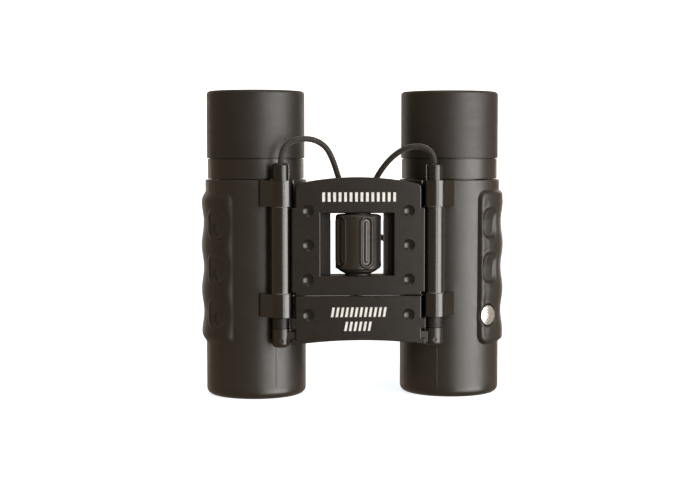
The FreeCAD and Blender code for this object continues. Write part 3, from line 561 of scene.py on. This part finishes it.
def coil_points():
    """Neat coil wound clockwise from the top: across a layer, down one, and back across."""
    slots = []
    for k, z in enumerate(COIL_LAYERS):
        radii = reversed(COIL_RADII) if k % 2 == 0 else COIL_RADII
        slots += [(radius, z) for radius in radii]
    points = []
    step = 24
    angle = 174
    turn_start = 60
    last_angle = -90 - 360 * (len(slots) - 2)
    while angle >= last_angle:
        done = (turn_start - angle) / 360
        k = max(0, math.floor(done)) if done >= 0 else -1
        into = (done - k) * 360 if done >= 0 else 0.0
        if k < 0:
            radius, z = slots[0]
        else:
            (r0, z0), (r1, z1) = slots[k], slots[min(k + 1, len(slots) - 1)]
            radius = r0 + (r1 - r0) * smooth_step(into, 50, 110)
            z = z0 + (z1 - z0) * smooth_step(into, 0, 60)
        turn = math.radians(angle)
        points.append((COIL_X + radius * math.cos(turn), COIL_Y + radius * math.sin(turn), z))
        angle -= step
    return points


def cord_curve(name, points):
    """Smooth curve, with no thickness, that the cord's points steer."""
    data = bpy.data.curves.new(name, "CURVE")
    data.dimensions = "3D"
    data.resolution_u = 10
    spline = data.splines.new("NURBS")
    spline.points.add(len(points) - 1)
    for control, point in zip(spline.points, points):
        control.co = (*at(*point), 1.0)
    spline.order_u = 3
    spline.use_endpoint_u = True
    made = bpy.data.objects.new(name, data)
    bpy.context.scene.collection.objects.link(made)
    return made


def line_of(curve_object):
    """Points along a curve with no bevel, evenly spaced, as an array in metres."""
    bpy.context.view_layer.update()
    mesh = bpy.data.meshes.new_from_object(curve_object)
    points = np.array([v.co for v in mesh.vertices])
    bpy.data.meshes.remove(mesh)
    return points


def resampled(points, spacing):
    """The same line, with evenly spaced points."""
    lengths = np.linalg.norm(np.diff(points, axis=0), axis=1)
    along = np.concatenate([[0.0], np.cumsum(lengths)])
    wanted = np.linspace(0.0, along[-1], int(along[-1] / spacing) + 1)
    return np.stack([np.interp(wanted, along, points[:, k]) for k in range(3)], axis=1)


def braided_tube(points, radius, around=20, strands=6, pitch=0.0052, relief=0.13):
    """Tube along a line whose surface is a braid: two families of strands crossing over and under."""
    count = len(points)
    tangents = np.gradient(points, axis=0)
    tangents /= np.linalg.norm(tangents, axis=1)[:, None]
    normal = np.cross(tangents[0], (0.0, 1.0, 0.0))
    normal /= np.linalg.norm(normal)
    spacing = np.linalg.norm(points[1] - points[0])
    verts = np.zeros((count, around, 3))
    angles = np.linspace(0, 2 * math.pi, around, endpoint=False)
    for i in range(count):
        normal = normal - tangents[i] * np.dot(normal, tangents[i])
        normal /= np.linalg.norm(normal)
        side = np.cross(tangents[i], normal)
        along = 2 * math.pi * i * spacing / pitch
        right = np.cos(0.5 * strands * (angles - along))
        left = np.cos(0.5 * strands * (angles + along))
        over = np.maximum(right ** 2, left ** 2)
        shape = radius * (1 - relief + relief * over)
        ring = np.cos(angles)[:, None] * normal + np.sin(angles)[:, None] * side
        verts[i] = points[i] + ring * shape[:, None]
    return verts.reshape(-1, 3), tube_faces(count, around)


route = cord_curve("strap_route", LEFT_STRAND + coil_points() + RIGHT_STRAND[::-1])
BRAID_STEP = 0.0003
centreline = resampled(line_of(route), BRAID_STEP)
bpy.data.objects.remove(route)
strap_verts, strap_faces = braided_tube(centreline, STRAP_D / 2 * MM)
strap = piece("neck_strap", strap_verts, strap_faces, "bridge", STRAP)
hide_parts("strap_strand_left", "strap_strand_right", "strap_coil")


TIE_WIDTH, TIE_THICKNESS, TIE_BEAD = 3.3, 0.32, 0.05
TIE_SQUARENESS = 0.42                 # 1 is an ellipse round the coil's section, and 0 a rectangle


def strap_tie():
    """Soft woven band round the coil's far side, with thicker edges and rounded corners."""
    inner = COIL_Y + COIL_RADII[0] - STRAP_D / 2 - 0.35
    outer = COIL_Y + COIL_RADII[-1] + STRAP_D / 2 + 0.15
    low, high = 0.15, COIL_LAYERS[0] + STRAP_D / 2 + 0.2
    middle_y, middle_z = (inner + outer) / 2, (low + high) / 2
    half_y, half_z = (outer - inner) / 2, (high - low) / 2
    rows, columns = 9, 48
    verts = []
    for outside in (False, True):
        for i in range(rows):
            x = COIL_X + TIE_WIDTH * (i / (rows - 1) - 0.5)
            bead = TIE_BEAD * math.cos(2 * math.pi * i / (rows - 1))
            grow = TIE_THICKNESS + bead - 2 * TIE_BEAD if outside else 0.0
            for j in range(columns):
                t = 2 * math.pi * j / columns
                cy = math.copysign(abs(math.cos(t)) ** TIE_SQUARENESS, math.cos(t))
                cz = math.copysign(abs(math.sin(t)) ** TIE_SQUARENESS, math.sin(t))
                verts.append(at(x, middle_y + (half_y + grow) * cy, middle_z + (half_z + grow) * cz))
    inside = rows * columns
    faces = [tuple(reversed(f)) for f in grid_faces(rows, columns, wrap_columns=True)]
    faces += [tuple(inside + k for k in f) for f in grid_faces(rows, columns, wrap_columns=True)]
    for j in range(columns):
        k = (j + 1) % columns
        faces.append((j, k, inside + k, inside + j))
        last = (rows - 1) * columns
        faces.append((last + k, last + j, inside + last + j, inside + last + k))
    return verts, faces


tie_verts, tie_faces = strap_tie()
tie = piece("strap_band", tie_verts, tie_faces, "bridge", STRAP)
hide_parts("strap_tie")


# ---------------------------------------------------------------- floor, backdrop, light

def stage_piece(name, verts, faces, material):
    """Floor or backdrop, which isn't part of the object."""
    mesh = bpy.data.meshes.new(name)
    mesh.from_pydata(verts, [], faces)
    mesh.materials.append(material)
    mesh.update()
    made = bpy.data.objects.new(name, mesh)
    bpy.context.scene.collection.objects.link(made)
    return made


def glowing(name, colour, glow):
    """Matt studio white that gives some light of its own."""
    made, tree, shader = tree_of(name)
    shader.inputs["Base Color"].default_value = (*colour, 1.0)
    shader.inputs["Roughness"].default_value = 0.9
    shader.inputs["Specular IOR Level"].default_value = 0.1
    shader.inputs["Emission Color"].default_value = (*colour, 1.0)
    shader.inputs["Emission Strength"].default_value = glow
    return made


FLOOR_HALF = 1.2
floor = stage_piece("floor", [(-FLOOR_HALF, -FLOOR_HALF, 0), (FLOOR_HALF, -FLOOR_HALF, 0),
                              (FLOOR_HALF, FLOOR_HALF, 0), (-FLOOR_HALF, FLOOR_HALF, 0)],
                    [(0, 1, 2, 3)], glowing("floor_white", (0.5, 0.53, 0.56), 1.57))

DOME_R, DOME_ROWS, DOME_COLUMNS = 3.0, 12, 48
dome_verts = []
for i in range(DOME_ROWS):
    tilt = math.radians(-8 + 98 * i / (DOME_ROWS - 1))
    for j in range(DOME_COLUMNS):
        spin = 2 * math.pi * j / DOME_COLUMNS
        dome_verts.append((DOME_R * math.cos(tilt) * math.cos(spin), DOME_R * math.cos(tilt) * math.sin(spin),
                           DOME_R * math.sin(tilt)))
backdrop = stage_piece("backdrop", dome_verts, grid_faces(DOME_ROWS, DOME_COLUMNS, wrap_columns=True),
                       glowing("backdrop_white", (1.0, 1.0, 1.0), 1.2))
for unlit in (floor, backdrop):
    unlit.visible_diffuse = False
    unlit.visible_glossy = False
backdrop.visible_shadow = False

world = bpy.data.worlds.new("studio")
world.use_nodes = True
fill = world.node_tree.nodes["Background"]
fill.inputs["Color"].default_value = (1.0, 0.77, 0.55, 1.0)
fill.inputs["Strength"].default_value = 0.48
bpy.context.scene.world = world


LIT_HEIGHT = 45.0
DAYLIGHT = (1.0, 0.985, 0.965)


def softbox(name, azimuth, elevation, distance, width, height, watts, colour):
    """Rectangular light aimed at the barrels, at an azimuth from the front and an elevation in degrees."""
    data = bpy.data.lights.new(name, "AREA")
    data.shape = "RECTANGLE"
    data.size = width
    data.size_y = height
    data.energy = watts
    data.color = colour
    made = bpy.data.objects.new(name, data)
    bpy.context.scene.collection.objects.link(made)
    az, el = math.radians(azimuth), math.radians(elevation)
    centre = at(0, BARREL_Y, LIT_HEIGHT)
    offset = Vector((math.sin(az) * math.cos(el), -math.cos(az) * math.cos(el), math.sin(el))) * distance
    made.location = centre + offset
    made.rotation_euler = offset.to_track_quat("Z", "Y").to_euler()
    return made


softbox("key", 52, 2, 0.8, 0.58, 0.80, 13.0, DAYLIGHT)
softbox("strip", 21, 2, 0.5, 0.10, 0.60, 1.25, DAYLIGHT)
softbox("edge_right", 150, 6, 0.9, 0.20, 0.50, 0.9, DAYLIGHT)
softbox("edge_left", -150, 6, 0.9, 0.20, 0.50, 0.5, DAYLIGHT)
softbox("top", 10, 80, 0.9, 0.7, 0.7, 2.0, (1.0, 1.0, 1.0))

bpy.context.scene.view_settings.view_transform = "Standard"
